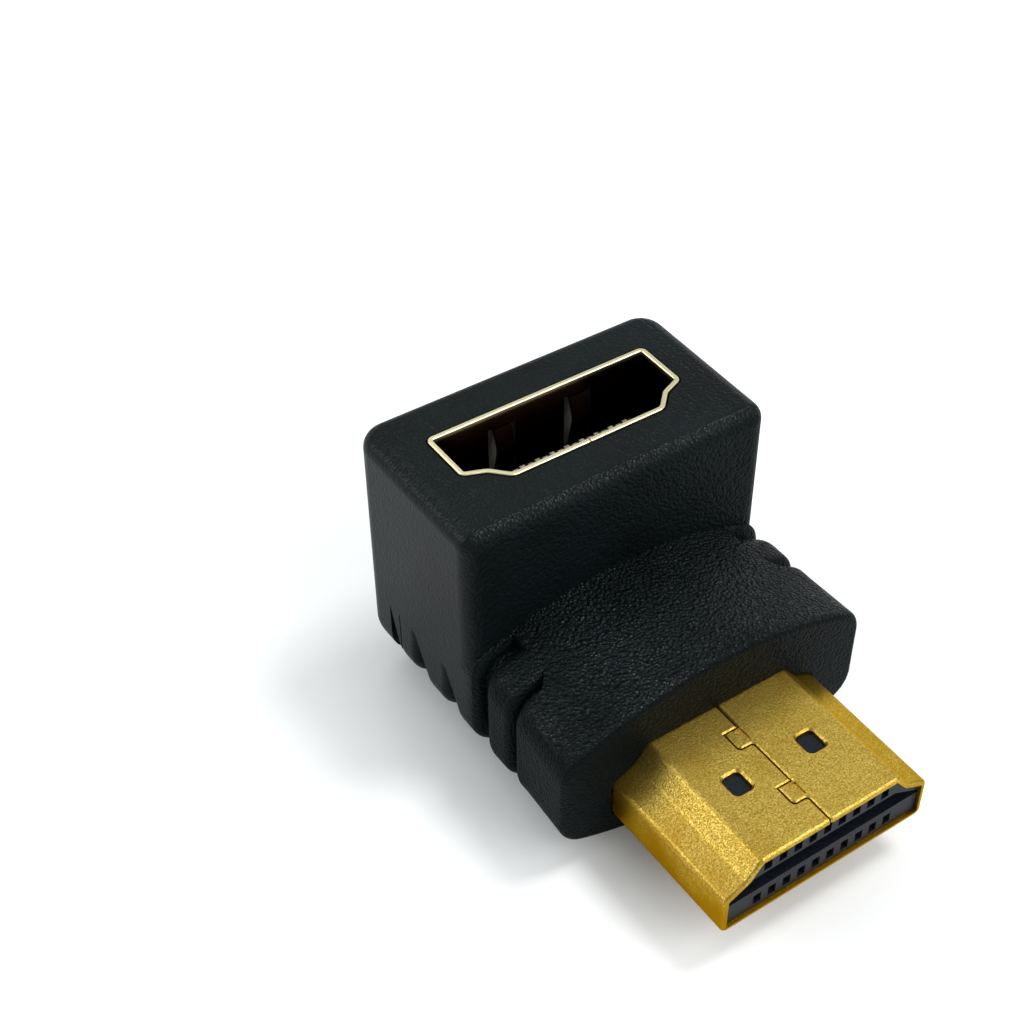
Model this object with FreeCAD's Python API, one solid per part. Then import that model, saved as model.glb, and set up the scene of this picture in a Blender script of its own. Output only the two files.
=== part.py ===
import FreeCAD, Part
import math
import os

# Right angle video adapter, plug to socket, in millimetres.
# X is across the width, the plug points to -Y and the socket opens to +Z.
# The origin is at the middle of the overall outline, on the surface that the adapter lies on.

Vector = FreeCAD.Vector

# Plug end
plug_reach = 9.45
plug_width = 13.9
plug_height = 4.45
plug_side = 2.67
plug_shoulder = (5.55, 3.38)
plug_narrow = 9.4
plug_centre_z = 4.85
plug_tail = 2.4

# Socket end
socket_side = 3.6
socket_shoulder = (6.0, 4.12)
socket_narrow = 10.0
socket_narrow_round = 0.75
socket_rise = 0.08
socket_base = 2.15

# Folded sheet of both shells
sheet = 0.3
mating_gap = 0.05
fold_radius = 0.42
shoulder_radius = 0.7
mouth_round = 0.18

# Outer body
body_length = 20.4
body_side = 2.7
collar_flare = 0.25
collar_length = 3.8
block_height = 10.75
crown_radius = 23.0
side_radius = 2.0
front_edge_round = 0.4
rear_edge_round = 1.6

# Tower that carries the socket
tower_top_z = 17.2
tower_depth = 11.4
tower_corner_round = 1.1
tower_top_round = 1.0

# Finger grips
grip_start = 4.5
grip_end = 17.6
grip_reach = 2.6
grip_corner_round = 2.0
grip_depth = 0.75
grip_fade_bottom_z = 3.1
grip_fade = 2.9
collar_end_length = 0.75
collar_end_round = 0.85
rib_first = 5.45
rib_pitch = 3.2
rib_count = 4
rib_length = 2.85
rib_front_round = 0.5
rib_rear_round = 1.3

# Bare oval recess under the body
oval_length = 12.4
oval_width = 7.4
oval_depth = 0.35
oval_centre = 10.1

# Walls and fits
wall = 1.6
shell_gap = 0.1
insulator_fit = 0.03
hole_fit = 0.08
solder_room_gap = 0.4
past = 1.0
overcut = 0.1

# Circuit board
board_thickness = 1.0
board_side_gap = 0.6
board_front_gap = 0.5
board_end_gap = 0.3
board_corner = 0.6

# Contacts
pin_pitch = 1.0
wide_row_count = 10
row_side_room = 1.0
contact_width = 0.3
contact_thickness = 0.15
pin_below_board = 0.6
solder_length = 1.8
tail_step_gap = 0.1
tail_step_slope = 0.45
bow_reach = 0.1
bow_from_mouth = 2.0
bow_length = 0.4
contact_tip_lift = 0.35
contact_tip_gap = 0.45
channel_floor_gap = 0.6

# Plug's contact blocks and the slot between them
face_recess = 0.22
insulator_tail = 2.2
slot_low = -0.45
slot_high = 0.67
slot_end_gap = 0.6
slot_side = 0.32
slot_top_half_width = 4.8
slot_floor = 1.0
window_width = 0.52
window_height = 0.7
window_low = -1.62
window_high = 1.57
front_bar = 0.6

# Plug shell details
latch_window_width = 1.2
latch_window_length = 1.4
latch_window_x = 2.52
latch_window_reach = 4.75
latch_window_round = 0.3
latch_window_bevel = 0.12
seam_gap = 0.08
lock_reaches = (1.8, 6.25)
lock_length = 1.25
lock_width = 0.92
lock_round = 0.24
seam_break = 0.08
pad_width = 0.46
pad_inset = 0.16
pad_depth = 0.1

# Socket details
tongue_width = 9.9
tongue_thickness = 0.95
tongue_shift = 0.1
tongue_tip = 2.6
contact_sunk = 0.1
hook_length = 0.8
row_spread = 0.75
pin_step = 0.35
rim_round = 0.07
spring_x = 2.55
spring_window_width = 1.8
spring_width = 1.1
spring_top = 0.95
spring_length = 4.8
spring_root = 0.4
spring_bend = 0.5
spring_bow = 0.55
spring_bow_start = 1.7
spring_bow_end = 1.3
spring_tip_bow = 0.12
spring_tip_gap = 0.15
spring_give = 0.45
spring_room_gap = 0.1
leg_width = 1.2
leg_below_board = 0.8
leg_spread = 1.15
leg_shift = 0.45

# Sizes and places that follow from the ones above
socket_width = plug_width + 2 * (mating_gap + sheet)
socket_height = plug_height + 2 * (mating_gap + sheet)
body_width = socket_width + 2 * body_side
collar_width = body_width + 2 * collar_flare
board_width = body_width - 2 * (wall + board_side_gap)
collar_y = (plug_reach - body_length) / 2
back_y = collar_y + body_length
tower_front_y = back_y - tower_depth
socket_y = (tower_front_y + back_y) / 2
grip_front_y = collar_y + grip_start
grip_end_y = collar_y + grip_end
rib_starts = [collar_y + rib_first + i * rib_pitch for i in range(rib_count)]
board_top_z = plug_centre_z + board_thickness / 2
board_bottom_z = plug_centre_z - board_thickness / 2
body_half = body_width / 2
collar_half = collar_width / 2

# Both connectors are drawn in one frame: u across, v towards the narrow face, w out of the adapter.
plug_frame = FreeCAD.Placement(
    Vector(0, collar_y, plug_centre_z), FreeCAD.Rotation(Vector(1, 0, 0), 90))
socket_frame = FreeCAD.Placement(
    Vector(0, socket_y, tower_top_z), FreeCAD.Rotation(Vector(0, 0, 1), 180))
socket_foot = board_top_z - tower_top_z
socket_depth = -socket_foot - socket_base


def box(u, v, w):
    """A box from three pairs of limits."""
    size = [high - low for low, high in (u, v, w)]
    return Part.makeBox(*size, Vector(u[0], v[0], w[0]))


def rounded_wire(points, radii):
    """A closed outline in the XY plane whose corners are rounded, sunk ones too."""
    starts = []
    edges = []
    for i, corner in enumerate(points):
        back = (points[i - 1] - corner).normalize()
        ahead = (points[(i + 1) % len(points)] - corner).normalize()
        half = back.getAngle(ahead) / 2
        reach = radii[i] / math.tan(half)
        middle = (back + ahead).normalize()
        hub = corner + middle * (radii[i] / math.sin(half))
        first = corner + back * reach
        last = corner + ahead * reach
        starts.append((first, last))
        edges.append(Part.Arc(first, hub - middle * radii[i], last).toShape())
    for i, (_, last) in enumerate(starts):
        edges.append(Part.LineSegment(last, starts[(i + 1) % len(starts)][0]).toShape())
    return Part.Wire(Part.__sortEdges__(edges))


def connector_wire(width, height, side, shoulder, narrow, narrow_round):
    """The mating outline: a wide face at -v, straight sides, and a sunk shoulder up to a narrow face."""
    low = -height / 2
    right = [(width / 2, low), (width / 2, low + side), (shoulder[0], low + shoulder[1]),
             (narrow / 2, height / 2)]
    left = [(-u, v) for u, v in reversed(right)]
    points = [Vector(u, v, 0) for u, v in right + left]
    radii = [fold_radius, fold_radius, shoulder_radius, narrow_round]
    return rounded_wire(points, radii + radii[::-1])


def grown(wire, distance):
    """The outline moved outwards by a distance, or inwards by a negative one."""
    return wire.makeOffset2D(distance) if distance else wire


def prism(wire, low, high):
    """A solid between two heights over an outline that lies in the XY plane."""
    face = Part.Face(wire)
    face.translate(Vector(0, 0, low))
    return face.extrude(Vector(0, 0, high - low))


def placed(shape, frame):
    """A copy of a shape, moved from the connector frame to its place in the adapter."""
    moved = shape.copy()
    moved.Placement = frame.multiply(moved.Placement)
    return moved


def bent_strip(line, thickness, width, at):
    """A bent strip of sheet. Its back follows the line of (v, w) points, its middle is at u."""
    back = Part.makePolygon([Vector(0, v, w) for v, w in line])
    face = back.makeOffset2D(thickness, 2, True, True)
    face.translate(Vector(at - width / 2, 0, 0))
    return face.extrude(Vector(width, 0, 0))


def plug_wire():
    return connector_wire(plug_width, plug_height, plug_side, plug_shoulder, plug_narrow, fold_radius)


def socket_wire():
    return connector_wire(socket_width, socket_height, socket_side, socket_shoulder, socket_narrow,
                          socket_narrow_round)


def contact_places():
    """Each contact's row, as +1 for the narrow one, and its place across the width."""
    places = []
    for count, row in ((wide_row_count, -1), (wide_row_count - 1, 1)):
        first = -(count - 1) * pin_pitch / 2
        places += [(row, first + i * pin_pitch) for i in range(count)]
    return sorted(places, key=lambda place: place[1])


# Outer body

def corner_rise(half_width):
    """How far the hub of the section's corner lies above the hub of its crown."""
    return math.sqrt((crown_radius - side_radius) ** 2 - (half_width - side_radius) ** 2)


def block_section(y, half_width, inset=0.0):
    """The grip's lens shaped section, with crowned top and underside and rounded narrow sides."""
    corner_x = half_width - side_radius
    rise = corner_rise(half_width)
    upper_hub = Vector(0, y, block_height - crown_radius)
    corner_hub = upper_hub + Vector(corner_x, 0, rise)
    toward_corner = (corner_hub - upper_hub).normalize()
    halfway = (toward_corner + Vector(1, 0, 0)).normalize()
    crown = upper_hub + Vector(0, 0, crown_radius - inset)
    tangent = upper_hub + toward_corner * (crown_radius - inset)
    bulge = corner_hub + halfway * (side_radius - inset)
    side = corner_hub + Vector(side_radius - inset, 0, 0)

    def turned(point, across, up):
        z = point.z if up > 0 else block_height - point.z
        return Vector(across * point.x, y, z)

    right, left, top, low = 1, -1, 1, -1
    edges = [Part.Arc(turned(tangent, left, top), crown, turned(tangent, right, top))]
    edges.append(Part.Arc(*[turned(p, right, top) for p in (tangent, bulge, side)]))
    edges.append(Part.LineSegment(turned(side, right, top), turned(side, right, low)))
    edges.append(Part.Arc(*[turned(p, right, low) for p in (side, bulge, tangent)]))
    edges.append(Part.Arc(turned(tangent, right, low), turned(crown, right, low), turned(tangent, left, low)))
    edges.append(Part.Arc(*[turned(p, left, low) for p in (tangent, bulge, side)]))
    edges.append(Part.LineSegment(turned(side, left, low), turned(side, left, top)))
    edges.append(Part.Arc(*[turned(p, left, top) for p in (side, bulge, tangent)]))
    return Part.Wire([edge.toShape() for edge in edges])


def edges_at(shape, y):
    """The edges of a shape that lie in one plane across the plug's axis."""
    return [edge for edge in shape.Edges
            if abs(edge.BoundBox.YMin - y) < 1e-4 and abs(edge.BoundBox.YMax - y) < 1e-4]


def grip_block():
    """The plug end's block: a collar that tapers to the grip, rounded at its front and rear edges."""
    collar_end_y = collar_y + collar_length
    collar = Part.makeLoft(
        [block_section(collar_y, collar_half), block_section(collar_end_y, body_half)], True, True)
    collar = collar.makeFillet(front_edge_round, edges_at(collar, collar_y))
    body = Part.Face(block_section(collar_end_y, body_half))
    body = body.extrude(Vector(0, back_y - collar_end_y, 0))
    body = body.makeFillet(rear_edge_round, edges_at(body, back_y))
    return collar.fuse(body)


def tower_block(inset=0.0, bottom_z=plug_centre_z):
    """The upright block round the socket, from inside the grip block to its rounded top."""
    front = tower_front_y + inset
    back = back_y - inset
    half = body_half - inset
    if inset:
        return box((-half, half), (front, back), (bottom_z, tower_top_z - inset))
    corners = [Vector(-half, front, 0), Vector(half, front, 0), Vector(half, back, 0), Vector(-half, back, 0)]
    radii = [tower_corner_round, tower_corner_round, rear_edge_round, rear_edge_round]
    return prism(rounded_wire(corners, radii), bottom_z, tower_top_z)


def rounded_tower():
    tower = tower_block()
    rim = [edge for edge in tower.Edges if edge.BoundBox.ZMin > tower_top_z - 1e-4]
    return tower.makeFillet(tower_top_round, rim)


def ring(start_y, end_y, rear_round):
    """A full slice of the grip whose edge towards the tower is rounded."""
    blank = Part.Face(block_section(start_y, body_half)).extrude(Vector(0, end_y - start_y, 0))
    return blank.makeFillet(rear_round, edges_at(blank, end_y))


def ribbed_core():
    """What stays inside both finger pockets: their floor, the collar's rounded end and the ribs.

    Each rib is crisp towards the plug and falls away softly towards the tower.
    """
    floor = Part.Face(block_section(grip_front_y - wall, body_half, grip_depth))
    core = floor.extrude(Vector(0, grip_end_y - grip_front_y + 2 * wall, 0))
    core = core.fuse(ring(grip_front_y - wall, grip_front_y + collar_end_length, collar_end_round))
    for start_y in rib_starts:
        rib = ring(start_y, min(start_y + rib_length, grip_end_y), rib_rear_round)
        core = core.fuse(rib.makeFillet(rib_front_round, edges_at(rib, start_y)))
    return core


def tower_guard():
    """The tower's sides, which stay whole above the pockets.

    Below it the pockets deepen as they go down, and each groove comes to a point beside the next rib.
    """
    floor_x = body_half - grip_depth
    outer_x = floor_x + 2 * grip_depth
    fade_z = grip_fade_bottom_z + 2 * grip_fade
    right = [(floor_x, grip_fade_bottom_z), (outer_x, fade_z), (outer_x, tower_top_z)]
    profile = right + [(-x, z) for x, z in reversed(right)]
    guard = Part.Face(Part.makePolygon([Vector(x, tower_front_y, z) for x, z in profile + profile[:1]]))
    guard = guard.extrude(Vector(0, tower_depth, 0))
    ends = rib_starts + [grip_end_y]
    for start_y, end_y in zip(rib_starts[1:], ends[2:]):
        soft_y = start_y + rib_length - rib_rear_round
        point_z = grip_fade_bottom_z + grip_fade
        tooth = [(soft_y, grip_fade_bottom_z), (end_y, point_z), (end_y, fade_z), (soft_y, fade_z)]
        tooth = Part.Face(Part.makePolygon([Vector(-outer_x, y, z) for y, z in tooth + tooth[:1]]))
        guard = guard.fuse(tooth.extrude(Vector(2 * outer_x, 0, 0)))
    return guard


def grip_cutter():
    """What both finger pockets take away."""
    pockets = []
    for side in (-1, 1):
        inner = side * (body_half - grip_reach)
        outer = side * collar_width
        corners = [Vector(inner, grip_front_y, 0), Vector(outer, grip_front_y, 0),
                   Vector(outer, grip_end_y, 0), Vector(inner, grip_end_y, 0)]
        outline = rounded_wire(corners, [grip_corner_round] * 4)
        pockets.append(prism(outline, -wall, block_height + wall))
    cutter = pockets[0].fuse(pockets[1])
    return cutter.cut(tower_guard()).cut(ribbed_core())


def oval_cutter():
    """The shallow oval under the body, whose floor follows the crowned underside."""
    middle = Vector(0, collar_y + oval_centre, -wall)
    end = middle + Vector(0, oval_length / 2, 0)
    side = middle + Vector(oval_width / 2, 0, 0)
    ellipse = Part.Ellipse(end, side, middle)
    column = Part.Face(Part.Wire(ellipse.toShape())).extrude(Vector(0, 0, block_height / 2))
    floor = Part.Face(block_section(grip_front_y, body_half, oval_depth))
    return column.cut(floor.extrude(Vector(0, body_length, 0)))


def outer_body():
    body = grip_block().fuse(rounded_tower()).removeSplitter()
    return body.cut(grip_cutter()).cut(oval_cutter())


def mould_envelope():
    """The first shot's outline, one wall inside the outer body."""
    section = Part.Face(block_section(collar_y + wall, body_half, wall))
    block = section.extrude(Vector(0, body_length - 2 * wall, 0))
    return block.fuse(tower_block(wall)).removeSplitter()


def housing():
    plug_hole = prism(grown(plug_wire(), hole_fit), -2 * wall, wall)
    socket_hole = prism(grown(socket_wire(), shell_gap), -2 * wall, wall)
    body = outer_body().cut(mould_envelope())
    body = body.cut(placed(plug_hole, plug_frame))
    body = body.cut(placed(socket_hole, socket_frame))
    return body.cut(placed(spring_rooms(), socket_frame))


# Inside

def solder_room():
    """The room round the plug contacts' tails, over and under the board's front edge."""
    half = (wide_row_count - 1) * pin_pitch / 2 + row_side_room
    reach = insulator_tail + board_front_gap + solder_length + solder_room_gap
    return box((-half, half), (-plug_height / 2 + sheet, plug_height / 2 - sheet), (-reach, -insulator_tail))


def pin_room():
    """The room under the board for the socket contacts' pins."""
    half = (wide_row_count - 1) * pin_pitch / 2 + row_side_room
    deep = tongue_thickness / 2 + row_spread + solder_room_gap
    foot = board_bottom_z - tower_top_z
    return box((-half, half), (-deep, deep), (foot - pin_below_board - solder_room_gap, foot))


def inner_mould():
    board = board_blank(0.0)
    plug_end = prism(grown(plug_wire(), hole_fit), -plug_tail, 0)
    socket_end = prism(grown(socket_wire(), hole_fit), socket_foot, 0)
    mould = mould_envelope().cut(board)
    mould = mould.cut(placed(plug_end, plug_frame))
    mould = mould.cut(placed(solder_room(), plug_frame))
    for shape in (socket_end, pin_room(), legs(hole_fit), spring_rooms()):
        mould = mould.cut(placed(shape, socket_frame))
    return mould


def board_blank(corner):
    front = collar_y + insulator_tail + board_front_gap
    back = back_y - wall - board_end_gap
    half = board_width / 2
    if not corner:
        return box((-half, half), (front, back), (board_bottom_z, board_top_z))
    corners = [Vector(-half, front, 0), Vector(half, front, 0), Vector(half, back, 0), Vector(-half, back, 0)]
    return prism(rounded_wire(corners, [corner] * 4), board_bottom_z, board_top_z)


def circuit_board():
    board = board_blank(board_corner)
    for row, u in contact_places():
        v = pin_v(row) + row * contact_thickness / 2
        hole = Part.makeCylinder(contact_width / 2 + hole_fit, 2 * board_thickness,
                                 Vector(u, v, socket_foot - 1.5 * board_thickness))
        board = board.cut(placed(hole, socket_frame))
    return board.cut(placed(legs(hole_fit), socket_frame))


# Plug

def seam_cutter():
    """The closing seam down the narrow face, with a tab across it at each lock, rounded towards the mouth."""
    path = [(0, -plug_tail - past)]
    for reach in lock_reaches:
        path += [(0, reach), (-lock_width, reach), (-lock_width, reach + lock_length), (0, reach + lock_length)]
    path.append((0, plug_reach + past))
    line = Part.makePolygon([Vector(u - seam_gap / 2, 0, w) for u, w in path])
    slit = line.makeOffset2D(seam_gap, 2, True, True).extrude(Vector(0, plug_height, 0))
    rounded = []
    for edge in slit.Edges:
        upright = edge.BoundBox.YLength > plug_height / 2
        fronts = [abs(edge.CenterOfMass.z - reach - lock_length) < 2 * seam_gap for reach in lock_reaches]
        if upright and any(fronts):
            rounded.append(edge)
    return slit.makeFillet(lock_round, rounded)


def break_seam(shell):
    """Both lips of the seam, broken at the outside where the sheet was sheared."""
    lips = []
    for edge in shell.Edges:
        place = edge.BoundBox
        on_face = place.YMin > plug_height / 2 - 1e-4
        beside_seam = place.XMin > -lock_width - 2 * seam_gap and place.XMax < 2 * seam_gap
        if on_face and beside_seam and place.ZLength + place.XLength > 2 * seam_gap:
            lips.append(edge)
    return shell.makeChamfer(seam_break, lips)


def coined_pads():
    """A sunk rectangle at the root of each lock's tab."""
    pads = []
    for reach in lock_reaches:
        pads.append(box((-pad_width, 0), (plug_height / 2 - pad_depth, plug_height),
                        (reach + pad_inset, reach + lock_length - pad_inset)))
    return pads[0].fuse(pads[1:])


def window_outline(extra, height):
    half_u = latch_window_width / 2 + extra
    half_w = latch_window_length / 2 + extra
    corners = [Vector(-half_u, -half_w, 0), Vector(half_u, -half_w, 0),
               Vector(half_u, half_w, 0), Vector(-half_u, half_w, 0)]
    wire = rounded_wire(corners, [latch_window_round + extra] * 4)
    wire.translate(Vector(0, 0, height))
    return wire


def latch_window_cutter(u):
    """One latch window, bevelled at the outside, through the narrow face."""
    top = plug_height / 2
    through = Part.Face(window_outline(0, top - 2 * sheet)).extrude(Vector(0, 0, 3 * sheet))
    bevel = Part.makeLoft([window_outline(0, top - latch_window_bevel),
                           window_outline(2 * latch_window_bevel, top + latch_window_bevel)], True, True)
    cutter = through.fuse(bevel)
    cutter.rotate(Vector(), Vector(1, 0, 0), -90)
    cutter.translate(Vector(u, 0, latch_window_reach))
    return cutter


def plug_shell():
    outside = prism(plug_wire(), -plug_tail, plug_reach)
    mouth = [edge for edge in outside.Edges if edge.BoundBox.ZMin > plug_reach - 1e-4]
    outside = outside.makeFillet(mouth_round, mouth)
    shell = outside.cut(prism(grown(plug_wire(), -sheet), -2 * plug_tail, 2 * plug_reach))
    for u in (-latch_window_x, latch_window_x):
        shell = shell.cut(latch_window_cutter(u))
    shell = break_seam(shell.cut(seam_cutter()))
    return placed(shell.cut(coined_pads()), plug_frame)


def plug_seat(row):
    """Where a plug contact lies in its channel, measured from the middle."""
    return window_high if row > 0 else window_low


def plug_contact_shape(row, u):
    """One spring contact: soldered tail, step up into its channel, and a bow that reaches into the slot."""
    board = row * board_thickness / 2
    seat = plug_seat(row) - row * contact_thickness
    touch = (slot_high if row > 0 else slot_low) - row * bow_reach
    board_edge = -insulator_tail - board_front_gap
    step = board_edge - tail_step_gap
    bow = plug_reach - bow_from_mouth
    tip = plug_reach - face_recess - front_bar - contact_tip_gap
    line = [(board, board_edge - solder_length), (board, step),
            (seat, step + tail_step_slope * abs(seat - board)), (seat, slot_floor + channel_floor_gap),
            (touch, bow - bow_length), (touch, bow), (touch + row * contact_tip_lift, tip)]
    return bent_strip(line, row * contact_thickness, contact_width, u)


def channel(row, u):
    """One contact's channel, open to the slot behind a thin bar, with a window in the face."""
    half = window_width / 2
    seat = plug_seat(row)
    slot = slot_high if row > 0 else slot_low
    face = plug_reach - face_recess
    inner = seat - row * window_height
    open_part = box((u - half, u + half), sorted((slot - row * overcut, seat)), (slot_floor - overcut, face - front_bar))
    window = box((u - half, u + half), sorted((inner, seat)), (face - 2 * front_bar, face + past))
    return open_part.fuse(window)


def slot_prism(low, high):
    """The slot's outline, which slants at its ends under the shell's shoulders, between two depths."""
    edge = plug_width / 2
    end_v = slot_low + slot_side
    right = [(edge, slot_low), (edge, end_v), (edge - slot_end_gap, end_v), (slot_top_half_width, slot_high)]
    left = [(-u, v) for u, v in reversed(right)]
    points = [Vector(u, v, 0) for u, v in right + left]
    return prism(Part.makePolygon(points + points[:1]), low, high)


def block_blank():
    """The whole room in the shell for the two contact blocks and the spacer."""
    return prism(grown(plug_wire(), -sheet - insulator_fit), -insulator_tail, plug_reach - face_recess)


def contact_block(row):
    """The block on one side of the slot, moulded round its row, with a channel for each contact's spring."""
    halves = block_blank().cut(slot_prism(-insulator_tail - past, plug_reach + past)).Solids
    block = max(halves, key=lambda half: row * half.CenterOfMass.y)
    for side, u in contact_places():
        if side == row:
            block = block.cut(channel(row, u)).cut(plug_contact_shape(row, u))
    return placed(block, plug_frame)


def contact_spacer():
    """The bar that parts the blocks at their rear and closes the slot's end."""
    return placed(block_blank().common(slot_prism(-insulator_tail, slot_floor)), plug_frame)


# Socket

def pin_v(row):
    """The back of a socket contact's pin where it goes through the board."""
    return tongue_shift + row * (tongue_thickness / 2 - contact_sunk + row_spread)


def socket_contact_shape(row, u):
    """One flat contact: a hook over the tongue's tip, a run down its face, and a pin through the board."""
    face = tongue_shift + row * (tongue_thickness / 2 - contact_sunk)
    tip = -tongue_tip - contact_thickness
    foot = board_bottom_z - tower_top_z - pin_below_board
    base_top = -socket_depth
    hook = face - row * hook_length
    line = [(hook, tip), (face, tip), (face, base_top - pin_step),
            (pin_v(row), base_top - pin_step - row_spread), (pin_v(row), foot)]
    return bent_strip(line, -row * contact_thickness, contact_width, u)


def socket_insulator():
    """Base and tongue in one piece, with a groove for each contact."""
    base = prism(grown(socket_wire(), -sheet - insulator_fit), socket_foot, -socket_depth)
    half = tongue_width / 2
    depth = tongue_thickness / 2
    tongue = box((-half, half), (tongue_shift - depth, tongue_shift + depth), (-socket_depth - overcut, -tongue_tip))
    body = base.fuse(tongue).removeSplitter()
    for row, u in contact_places():
        body = body.cut(socket_contact_shape(row, u))
    return placed(body, socket_frame)


def spring_places():
    """Each latch spring's face, as +1 for the narrow one, and its place across the width."""
    return [(side, u) for side in (-1, 1) for u in (-spring_x, spring_x)]


def spring_leaf(side, u):
    """A leaf that leaves the wall at its foot, bows into the socket and turns back at its tip."""
    wall_v = side * socket_height / 2
    foot = -spring_top - spring_length
    line = [(wall_v, foot - spring_root), (wall_v, foot + spring_bend),
            (wall_v - side * spring_bow, -spring_top - spring_bow_start),
            (wall_v - side * spring_bow, -spring_top - spring_bow_end),
            (wall_v - side * spring_tip_bow, -spring_top - spring_tip_gap)]
    return bent_strip(line, -side * sheet, spring_width, u)


def spring_room(side, u, depth, extra):
    """A box through or behind the wall at one latch spring."""
    wall_v = socket_height / 2
    reach = sorted((side * (wall_v - 2 * sheet), side * (wall_v + depth)))
    half = spring_window_width / 2 + extra
    return box((u - half, u + half), reach, (-spring_top - spring_length - extra, -spring_top + extra))


def spring_rooms():
    """The room behind all latch springs, into which they give way."""
    rooms = [spring_room(side, u, spring_give, spring_room_gap) for side, u in spring_places()]
    return rooms[0].fuse(rooms[1:])


def legs(extra):
    """Four legs that go on from the sides of the shell through the board."""
    outer = socket_width / 2
    low = socket_foot - board_thickness - leg_below_board
    shapes = []
    for side in (-1, 1):
        for v in (-leg_spread, leg_spread):
            u = sorted((side * (outer - sheet - extra), side * (outer + extra)))
            reach = leg_width / 2 + extra
            shapes.append(box(u, (v - leg_shift - reach, v - leg_shift + reach), (low - extra, socket_foot + extra)))
    return shapes[0].fuse(shapes[1:])


def socket_shell():
    outside = prism(socket_wire(), socket_foot, socket_rise)
    shell = outside.cut(prism(grown(socket_wire(), -sheet), 2 * socket_foot, 2 * wall))
    rim = [edge for edge in shell.Edges if edge.BoundBox.ZMin > socket_rise - 1e-4]
    shell = shell.makeFillet(rim_round, rim)
    for side, u in spring_places():
        shell = shell.cut(spring_room(side, u, sheet, 0))
    shell = shell.cut(box((-seam_gap / 2, seam_gap / 2), (0, socket_height), (2 * socket_foot, 2 * socket_rise)))
    shell = shell.fuse([spring_leaf(side, u) for side, u in spring_places()])
    return placed(shell.fuse(legs(0.0)), socket_frame)


def write(name, shape):
    shape.exportStep("parts/" + name + ".step")


os.makedirs("parts", exist_ok=True)
write("housing", housing())
write("inner_mould", inner_mould())
write("circuit_board", circuit_board())
write("plug_shell", plug_shell())
write("lower_contact_block", contact_block(-1))
write("upper_contact_block", contact_block(1))
write("contact_spacer", contact_spacer())
write("socket_shell", socket_shell())
write("socket_insulator", socket_insulator())
for number, (row, u) in enumerate(contact_places(), 1):
    write("plug_contact_%02d" % number, placed(plug_contact_shape(row, u), plug_frame))
    write("socket_contact_%02d" % number, placed(socket_contact_shape(row, u), socket_frame))
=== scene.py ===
import math

import bmesh
import bpy
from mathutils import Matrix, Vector


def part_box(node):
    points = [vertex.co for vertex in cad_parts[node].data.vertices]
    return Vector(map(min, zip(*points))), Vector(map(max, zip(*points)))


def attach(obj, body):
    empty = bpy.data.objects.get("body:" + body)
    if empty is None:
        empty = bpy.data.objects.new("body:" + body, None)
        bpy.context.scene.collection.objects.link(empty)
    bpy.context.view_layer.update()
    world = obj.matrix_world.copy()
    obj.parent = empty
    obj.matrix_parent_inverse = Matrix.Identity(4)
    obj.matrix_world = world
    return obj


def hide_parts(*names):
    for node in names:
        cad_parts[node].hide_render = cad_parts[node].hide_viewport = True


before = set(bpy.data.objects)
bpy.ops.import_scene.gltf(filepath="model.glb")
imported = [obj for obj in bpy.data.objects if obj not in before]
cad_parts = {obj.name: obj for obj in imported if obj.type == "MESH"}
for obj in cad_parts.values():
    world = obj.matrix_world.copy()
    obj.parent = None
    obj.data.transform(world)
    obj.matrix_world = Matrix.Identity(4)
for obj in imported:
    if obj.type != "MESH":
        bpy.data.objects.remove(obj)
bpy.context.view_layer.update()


# Circuit board and first shot
# The board joins the contacts of both ends inside the body. A first shot of pale plastic
# is moulded round it and the two shells, and the outer body hides it all.

def paint(code):
    """An sRGB hex value as a linear colour."""
    levels = [int(code[i:i + 2], 16) / 255 for i in (1, 3, 5)]
    return [v / 12.92 if v <= 0.04045 else ((v + 0.055) / 1.055) ** 2.4 for v in levels] + [1.0]


def add(tree, kind, links=None, stops=(), **settings):
    """Adds a node with its settings, with a link or a value for each input, and with any ramp stops."""
    made = tree.nodes.new(kind)
    for name, value in settings.items():
        setattr(made, name, value)
    for socket, value in (links or {}).items():
        if isinstance(value, bpy.types.NodeSocket):
            tree.links.new(value, made.inputs[socket])
        else:
            made.inputs[socket].default_value = value
    for number, (at, code) in enumerate(stops):
        elements = made.color_ramp.elements
        element = elements[number] if number < len(elements) else elements.new(at)
        element.position = at
        element.color = paint(code)
    return made


def per_metre(pitch_mm):
    """How many cells of a pattern go into a metre, from its real pitch in millimetres."""
    return 1000 / pitch_mm


def new_finish(name, **same_all_over):
    """A new material, its node tree, its shader with what is the same all over, and Object coordinates."""
    material = bpy.data.materials.new(name)
    material.use_nodes = True
    tree = material.node_tree
    shader = tree.nodes["Principled BSDF"]
    for socket, value in same_all_over.items():
        shader.inputs[socket.replace("_", " ")].default_value = value
    place = add(tree, "ShaderNodeTexCoord").outputs["Object"]
    return material, tree, shader, place


def give_finish(node, material):
    """Puts a material on a CAD node, whose shape stays as it is."""
    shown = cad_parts[node]
    shown.data.materials.clear()
    shown.data.materials.append(material)


# Glass cloth under a green solder mask, where the weave just shows as paler patches.
laminate, tree, shader, place = new_finish("solder_masked_laminate", Roughness=0.35, IOR=1.5)
weave = add(tree, "ShaderNodeTexNoise", {"Vector": place, "Scale": per_metre(0.5), "Detail": 3.0})
mask = add(tree, "ShaderNodeValToRGB", {"Fac": weave.outputs["Fac"]}, [(0.35, "#12502c"), (0.65, "#1c6a3b")])
tree.links.new(mask.outputs["Color"], shader.inputs["Base Color"])
give_finish("circuit_board", laminate)

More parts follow.
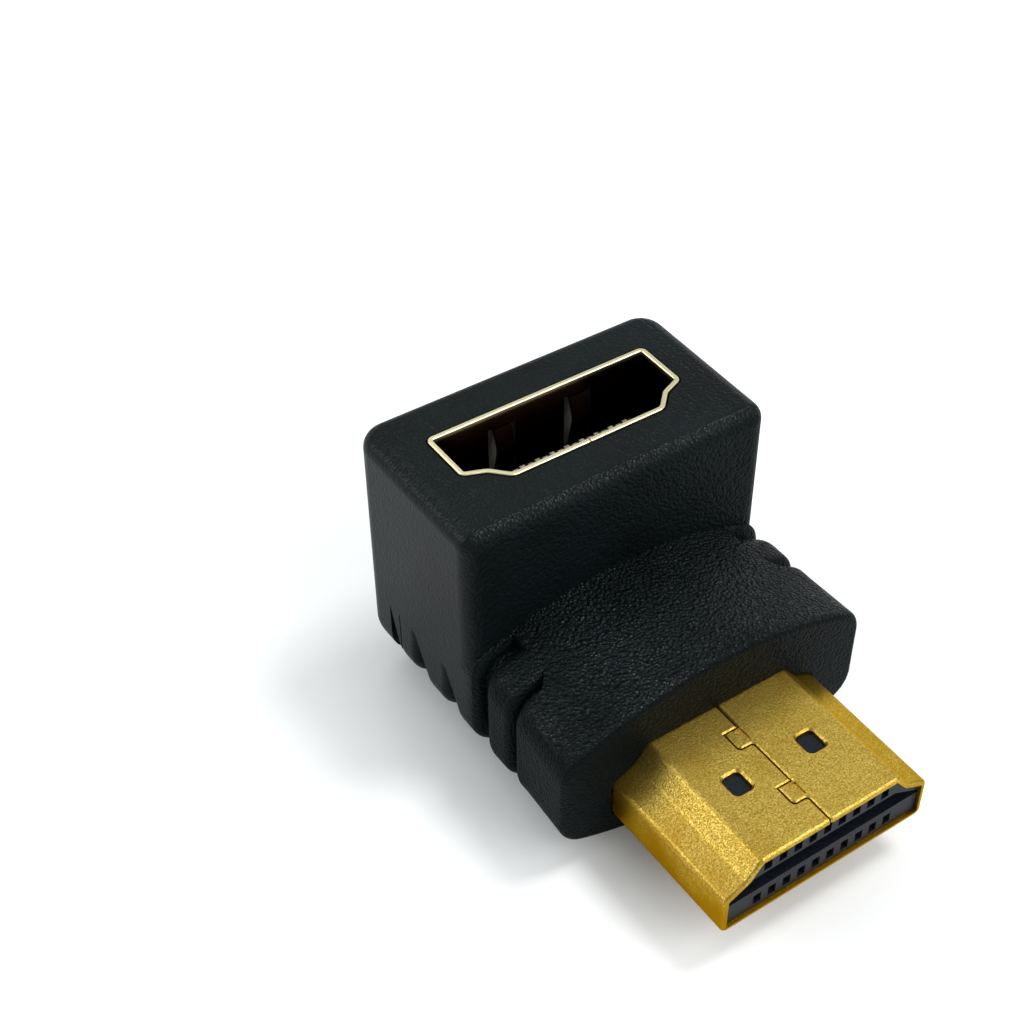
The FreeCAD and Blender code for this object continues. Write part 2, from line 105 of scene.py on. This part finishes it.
# Natural polyethylene with cloudy flow marks.
first_shot, tree, shader, place = new_finish("moulded_polyethylene", Roughness=0.6, IOR=1.5)
flow = add(tree, "ShaderNodeTexNoise", {"Vector": place, "Scale": per_metre(4.0), "Detail": 4.0})
cloud = add(tree, "ShaderNodeValToRGB", {"Fac": flow.outputs["Fac"]}, [(0.3, "#8d8b84"), (0.7, "#a3a198")])
tree.links.new(cloud.outputs["Color"], shader.inputs["Base Color"])
give_finish("inner_mould", first_shot)


# Contacts
# Nineteen strips of bronze at each end, stamped, bent and lightly plated. In the socket
# each is hooked over the tongue's tip, which shows as a row of small dull silvery teeth.

# Rolled strip under a thin plate: dull metal that drifts between grey and cream.
stamped, tree, shader, place = new_finish("plated_bronze_strip", Metallic=1.0, Roughness=0.38)
rolled = add(tree, "ShaderNodeTexNoise", {"Vector": place, "Scale": per_metre(0.25), "Detail": 2.0})
plate = add(tree, "ShaderNodeValToRGB", {"Fac": rolled.outputs["Fac"]}, [(0.3, "#a39a88"), (0.7, "#dcd5c4")])
tree.links.new(plate.outputs["Color"], shader.inputs["Base Color"])
contacts_an_end = 19
for end in ("plug", "socket"):
    for number in range(1, contacts_an_end + 1):
        give_finish("%s_contact_%02d" % (end, number), stamped)


# Insulators
# Glass filled nylon, moulded black. Two blocks and a spacer leave the plug's slot between
# them, with a row of windows on each side, and the socket's base carries its tongue.

# A tight matt skin, a little blue where it mirrors the room, with the fill as faint grit.
nylon, tree, shader, place = new_finish("glass_filled_nylon", Roughness=0.45, IOR=1.53,
                                        Specular_IOR_Level=0.12)
fill = add(tree, "ShaderNodeTexNoise", {"Vector": place, "Scale": per_metre(0.12), "Detail": 2.0})
shade = add(tree, "ShaderNodeValToRGB", {"Fac": fill.outputs["Fac"]}, [(0.3, "#0c0f14"), (0.7, "#1a2029")])
tree.links.new(shade.outputs["Color"], shader.inputs["Base Color"])
grit = add(tree, "ShaderNodeBump", {"Height": fill.outputs["Fac"], "Strength": 0.4, "Distance": 0.00001})
tree.links.new(grit.outputs["Normal"], shader.inputs["Normal"])
for node in ("lower_contact_block", "upper_contact_block", "contact_spacer", "socket_insulator"):
    give_finish(node, nylon)


# Plug shell
# Steel sheet folded round and locked along the middle of the narrow face, blasted fine and
# gold plated, with latch windows punched through it.

# Points closer than weld_gap become one, and edges that turn less than smooth_below shade smooth.
weld_gap, smooth_below = 0.000002, math.radians(32)


def skin(node, slot_name, *materials, is_rubbed_highlit=None):
    """A merged copy of a node that shades smooth and stands for it.

    The faces that is_rubbed_highlit picks take the second material.
    """
    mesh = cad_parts[node].data.copy()
    shape = bmesh.new()
    shape.from_mesh(mesh)
    bmesh.ops.remove_doubles(shape, verts=shape.verts, dist=weld_gap)
    for face in shape.faces:
        face.smooth = True
        face.material_index = 1 if is_rubbed_highlit and is_rubbed_highlit(face) else 0
    for edge in shape.edges:
        edge.smooth = len(edge.link_faces) == 2 and edge.calc_face_angle(0.0) < smooth_below
    shape.to_mesh(mesh)
    shape.free()
    mesh.materials.clear()
    for material in materials:
        mesh.materials.append(material)
    piece = bpy.data.objects.new(node + "_skin", mesh)
    bpy.context.scene.collection.objects.link(piece)
    even = piece.modifiers.new("even_shading", "WEIGHTED_NORMAL")
    even.keep_sharp = True
    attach(piece, "root")
    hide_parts(node)


# Satin gold. The blasting shows as bright and dark specks a tenth of a millimetre across. Low on
# the sides the gold is painted darker as shade, going over from a greenish to a warm orange tone.
plug_gold, tree, shader, place = new_finish("gold_plate_on_blasted_steel", Metallic=1.0,
                                            Specular_Tint=paint("#ffe0a0"))
drift = add(tree, "ShaderNodeTexNoise", {"Vector": place, "Scale": per_metre(3.0), "Detail": 2.0})
speck = add(tree, "ShaderNodeTexNoise",
            {"Vector": place, "Scale": per_metre(0.1), "Detail": 2.0, "Roughness": 0.7})
grains = add(tree, "ShaderNodeValToRGB", {"Fac": speck.outputs["Fac"]},
             [(0.32, "#8a6f26"), (0.5, "#b49640"), (0.68, "#d9bf6a")])
height = add(tree, "ShaderNodeSeparateXYZ", {"Vector": place}).outputs["Z"]
plug_low, plug_high = (corner[2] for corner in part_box("plug_shell"))
# Painted shade, deepest near the bottom of the sides and gone near the top, over slow random drifts.
shade_deepest_below, shade_clear_above = plug_low + 0.0005, plug_high - 0.0008
painted_low_shade = add(tree, "ShaderNodeMapRange",
          {"Value": height, "From Min": shade_deepest_below, "From Max": shade_clear_above, "To Min": 0.75, "To Max": 0.0})
low_shade_and_drift = add(tree, "ShaderNodeMath", {0: painted_low_shade.outputs["Result"], 1: drift.outputs["Fac"]}, operation="ADD")
low_shade_mix = add(tree, "ShaderNodeMapRange", {"Value": low_shade_and_drift.outputs["Value"], "From Min": 0.45, "From Max": 1.2})
plate = add(tree, "ShaderNodeMixRGB",
            {"Fac": low_shade_mix.outputs["Result"], "Color1": grains.outputs["Color"], "Color2": paint("#967018")})
tree.links.new(plate.outputs["Color"], shader.inputs["Base Color"])
satin = add(tree, "ShaderNodeMapRange",
            {"Value": speck.outputs["Fac"], "From Min": 0.3, "From Max": 0.7, "To Min": 0.44, "To Max": 0.3})
tree.links.new(satin.outputs["Result"], shader.inputs["Roughness"])
pits = add(tree, "ShaderNodeBump", {"Height": speck.outputs["Fac"], "Strength": 1.0, "Distance": 0.00002})
tree.links.new(pits.outputs["Normal"], shader.inputs["Normal"])

# Gold that plugging has rubbed pale and smooth, and painted paler still as a highlight: a bright line
# on the seam, the latch windows, the mouth and the upper folds.
rubbed_highlit_gold, tree, shader, place = new_finish("rubbed_highlit_gold_edge", Metallic=1.0, Roughness=0.2)
wear = add(tree, "ShaderNodeTexNoise", {"Vector": place, "Scale": per_metre(0.2), "Detail": 2.0})
plate = add(tree, "ShaderNodeValToRGB", {"Fac": wear.outputs["Fac"]}, [(0.3, "#e2cd86"), (0.7, "#fff0bd")])
tree.links.new(plate.outputs["Color"], shader.inputs["Base Color"])

mouth_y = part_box("plug_shell")[0][1]
lip_depth, mouth_round, fold_depth = 0.00013, 0.00018, 0.0003
windows_reach = 0.004


def rubbed_highlit_edge(face):
    """Whether a face of the plug's shell is on an edge that is rubbed and painted with a highlight."""
    place = face.calc_center_median()
    # The lips of seam and latch windows lean 18 degrees or more away from the narrow face.
    lip = face.normal.z < 0.95 and place.z > plug_high - lip_depth and abs(place.x) < windows_reach
    # The mouth's end is rounded over, and what looks up of it is rubbed and painted bright as a highlight.
    mouth = face.normal.z > 0.2 and place.y < mouth_y + mouth_round
    # The upper folds turn the narrow face into the shoulders: 3 to 37 degrees of them are rubbed and
    # painted bright as a highlight.
    fold = face.normal.z > 0.7 and 0.06 < abs(face.normal.x) < 0.6 and place.z > plug_high - fold_depth
    return lip or mouth or fold


skin("plug_shell", "gold_shell", plug_gold, rubbed_highlit_gold, is_rubbed_highlit=rubbed_highlit_edge)


# Socket shell
# The same folded sheet with four latch springs lanced out of its wide faces. The rim that
# plugs rub against is pale and smooth.

# Gold plate that is thick and pale on the rim. Below it the gold is painted darker with depth as shade,
# down to brown black, with faint stains in it.
socket_gold, tree, shader, place = new_finish("gold_plate_on_drawn_steel", Metallic=1.0)
height = add(tree, "ShaderNodeSeparateXYZ", {"Vector": place}).outputs["Z"]
rim_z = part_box("socket_shell")[1][2]
shade_fade_depth = 0.0005
# Painted shade: 1 on the rim, falling to 0 a little way down inside, where the gold is painted dark.
rim_above_painted_shade = add(tree, "ShaderNodeMapRange",
               {"Value": height, "From Min": rim_z - shade_fade_depth, "From Max": rim_z})
stain = add(tree, "ShaderNodeTexNoise", {"Vector": place, "Scale": per_metre(0.4), "Detail": 3.0})
shade_and_stain = add(tree, "ShaderNodeMixRGB",
             {"Fac": 0.12, "Color1": rim_above_painted_shade.outputs["Result"], "Color2": stain.outputs["Color"]})
plate = add(tree, "ShaderNodeValToRGB", {"Fac": shade_and_stain.outputs["Color"]},
            [(0.0, "#26130a"), (0.4, "#4a2f14"), (0.8, "#e9deb4")])
tree.links.new(plate.outputs["Color"], shader.inputs["Base Color"])
gloss = add(tree, "ShaderNodeMapRange", {"Value": rim_above_painted_shade.outputs["Result"], "To Min": 0.32, "To Max": 0.34})
tree.links.new(gloss.outputs["Result"], shader.inputs["Roughness"])
skin("socket_shell", "gold_shell", socket_gold)


# Outer body
# The second shot: black soft plastic moulded over everything in one go, in a mould that was
# etched with a leather grain.

# Nearly black, with a matt skin. The tower's half of the mould was etched finer, so its faces
# are smoother, with an even soft sheen.
body_plastic, tree, shader, place = new_finish("etched_soft_plastic", Roughness=0.55, IOR=1.5,
                                               Specular_IOR_Level=0.05, Coat_Roughness=0.15)
patch = add(tree, "ShaderNodeTexNoise", {"Vector": place, "Scale": per_metre(6.0), "Detail": 3.0})
shade = add(tree, "ShaderNodeValToRGB", {"Fac": patch.outputs["Fac"]}, [(0.3, "#060b0c"), (0.7, "#0b1315")])
tree.links.new(shade.outputs["Color"], shader.inputs["Base Color"])
along = add(tree, "ShaderNodeSeparateXYZ", {"Vector": place}).outputs["Y"]
tower_front, etch_change = 0.0035, 0.0008
tower = add(tree, "ShaderNodeMapRange",
            {"Value": along, "From Min": tower_front, "From Max": tower_front + etch_change})

# The grain is domed pebbles a fifth of a millimetre across, with uneven outlines and finer pores
# over them. It is shallower on walls, which drag on the mould, and faintest on the tower.
bend = add(tree, "ShaderNodeTexNoise", {"Vector": place, "Scale": per_metre(0.5), "Detail": 2.0})
bend_by = 0.0002
bent = add(tree, "ShaderNodeMixRGB",
           {"Fac": bend_by, "Color1": place, "Color2": bend.outputs["Color"]}, blend_type="ADD")
pebble = add(tree, "ShaderNodeTexVoronoi", {"Vector": bent.outputs["Color"], "Scale": per_metre(0.2)})
dome = add(tree, "ShaderNodeMath", {0: pebble.outputs["Distance"], 1: 2.0}, operation="POWER")
pore = add(tree, "ShaderNodeTexNoise", {"Vector": place, "Scale": per_metre(0.12), "Detail": 2.0})
hide = add(tree, "ShaderNodeMath",
           {0: pore.outputs["Fac"], 1: 0.2, 2: dome.outputs["Value"]}, operation="MULTIPLY_ADD")
facing = add(tree, "ShaderNodeNewGeometry").outputs["True Normal"]
facing_up = add(tree, "ShaderNodeSeparateXYZ", {"Vector": facing}).outputs["Z"]
relief = add(tree, "ShaderNodeMapRange", {"Value": tower.outputs["Result"], "To Min": 1.0, "To Max": 0.2})
etched = add(tree, "ShaderNodeMapRange",
             {"Value": facing_up, "From Min": 0.0, "From Max": 0.6, "To Min": 0.6, "To Max": 1.0})
deep = add(tree, "ShaderNodeMath",
           {0: relief.outputs["Result"], 1: etched.outputs["Result"]}, operation="MULTIPLY")
grain = add(tree, "ShaderNodeMath",
            {0: hide.outputs["Value"], 1: deep.outputs["Value"]}, operation="MULTIPLY")
raised = add(tree, "ShaderNodeBump",
             {"Height": grain.outputs["Value"], "Strength": 1.0, "Distance": 0.00016}, invert=True)
tree.links.new(raised.outputs["Normal"], shader.inputs["Normal"])
tree.links.new(raised.outputs["Normal"], shader.inputs["Coat Normal"])

# Where the grip faces up, fingers have rubbed the tops of the pebbles in patches, so they glint.
upwards = add(tree, "ShaderNodeMapRange", {"Value": facing_up, "From Min": 0.55, "From Max": 0.8})
handled = add(tree, "ShaderNodeMapRange",
              {"Value": patch.outputs["Fac"],
               "From Min": 0.35, "From Max": 0.65, "To Min": 0.3, "To Max": 1.0})
tops = add(tree, "ShaderNodeMapRange",
           {"Value": dome.outputs["Value"], "From Min": 0.02, "From Max": 0.12, "To Min": 1.0, "To Max": 0.2})
worn = add(tree, "ShaderNodeMath",
           {0: upwards.outputs["Result"], 1: handled.outputs["Result"]}, operation="MULTIPLY")
rubbed = add(tree, "ShaderNodeMath",
             {0: tops.outputs["Result"], 1: worn.outputs["Value"]}, operation="MULTIPLY")
tower_sheen = 0.16
sheen = add(tree, "ShaderNodeMix",
            {"Factor": tower.outputs["Result"], "A": rubbed.outputs["Value"], "B": tower_sheen})
tree.links.new(sheen.outputs["Result"], shader.inputs["Coat Weight"])
skin("housing", "body_plastic", body_plastic)


# Floor and light
# A pale table in a pale room with five soft windows. The long one behind spreads over the plug's
# narrow face and the left one over its shoulder. A small one overhead gives the grip its glints,
# the front one catches the broken edges, and the right one is weak.

# Matt white paint, which takes only a soft shadow.
table, tree, shader, place = new_finish("pale_table", Roughness=0.8, Base_Color=paint("#f6f6f6"))
floor_mesh = bpy.data.meshes.new("floor")
plane = bmesh.new()
bmesh.ops.create_grid(plane, x_segments=1, y_segments=1, size=1.5)
plane.to_mesh(floor_mesh)
plane.free()
floor_mesh.materials.append(table)
floor = bpy.data.objects.new("floor", floor_mesh)
bpy.context.scene.collection.objects.link(floor)

room = bpy.data.worlds.new("room")
room.use_nodes = True
bpy.context.scene.world = room
wall = room.node_tree.nodes["Background"]
wall.inputs["Color"].default_value = paint("#e4ebec")
wall.inputs["Strength"].default_value = 0.68

adapter_middle = Vector((0, 0, 0.008))


def window(name, at, width, height, power):
    """A soft area light that looks at the object."""
    lamp = bpy.data.lights.new(name, "AREA")
    lamp.shape = "RECTANGLE"
    lamp.size = width
    lamp.size_y = height
    lamp.energy = power
    lit = bpy.data.objects.new(name, lamp)
    bpy.context.scene.collection.objects.link(lit)
    lit.location = at
    lit.rotation_euler = (adapter_middle - Vector(at)).to_track_quat("-Z", "Y").to_euler()


window("rear_window", (-0.04, 0.225, 0.33), 0.34, 0.07, 0.24)
window("left_window", (-0.30, 0.20, 0.19), 0.20, 0.20, 0.5)
window("top_window", (0.17, -0.04, 0.38), 0.12, 0.12, 0.65)
window("front_window", (0.11, -0.25, 0.21), 0.22, 0.22, 0.6)
window("right_window", (0.36, 0.24, 0.13), 0.20, 0.20, 0.15)

# Tones go straight to the screen, so the pale floor comes out as white as a product picture's.
bpy.context.scene.view_settings.view_transform = "Standard"


# Camera
# The photograph's view, from the plug's left and above with a little roll, as solved from the
# plug's corners, seam and windows, the rim and the tower. The frame lies off the lens's axis.

turn = math.radians(39.10)
tilt = math.radians(44.98)
roll = math.radians(3.22)
frame_px, focal_px = 1024, 1831
forward = Vector((math.sin(turn) * math.cos(tilt), math.cos(turn) * math.cos(tilt), -math.sin(tilt)))
camera_data = bpy.data.cameras.new("camera")
camera_data.sensor_width = 36
camera_data.lens = focal_px / frame_px * camera_data.sensor_width
camera_data.shift_x = -0.125
camera_data.shift_y = 0.0859
camera_data.clip_start = 0.005
camera = bpy.data.objects.new("camera", camera_data)
bpy.context.scene.collection.objects.link(camera)
camera.location = (-0.045267, -0.053964, 0.080944)
camera.rotation_euler = forward.to_track_quat("-Z", "Y").to_euler()
camera.rotation_euler.rotate_axis("Z", roll)
bpy.context.scene.camera = camera
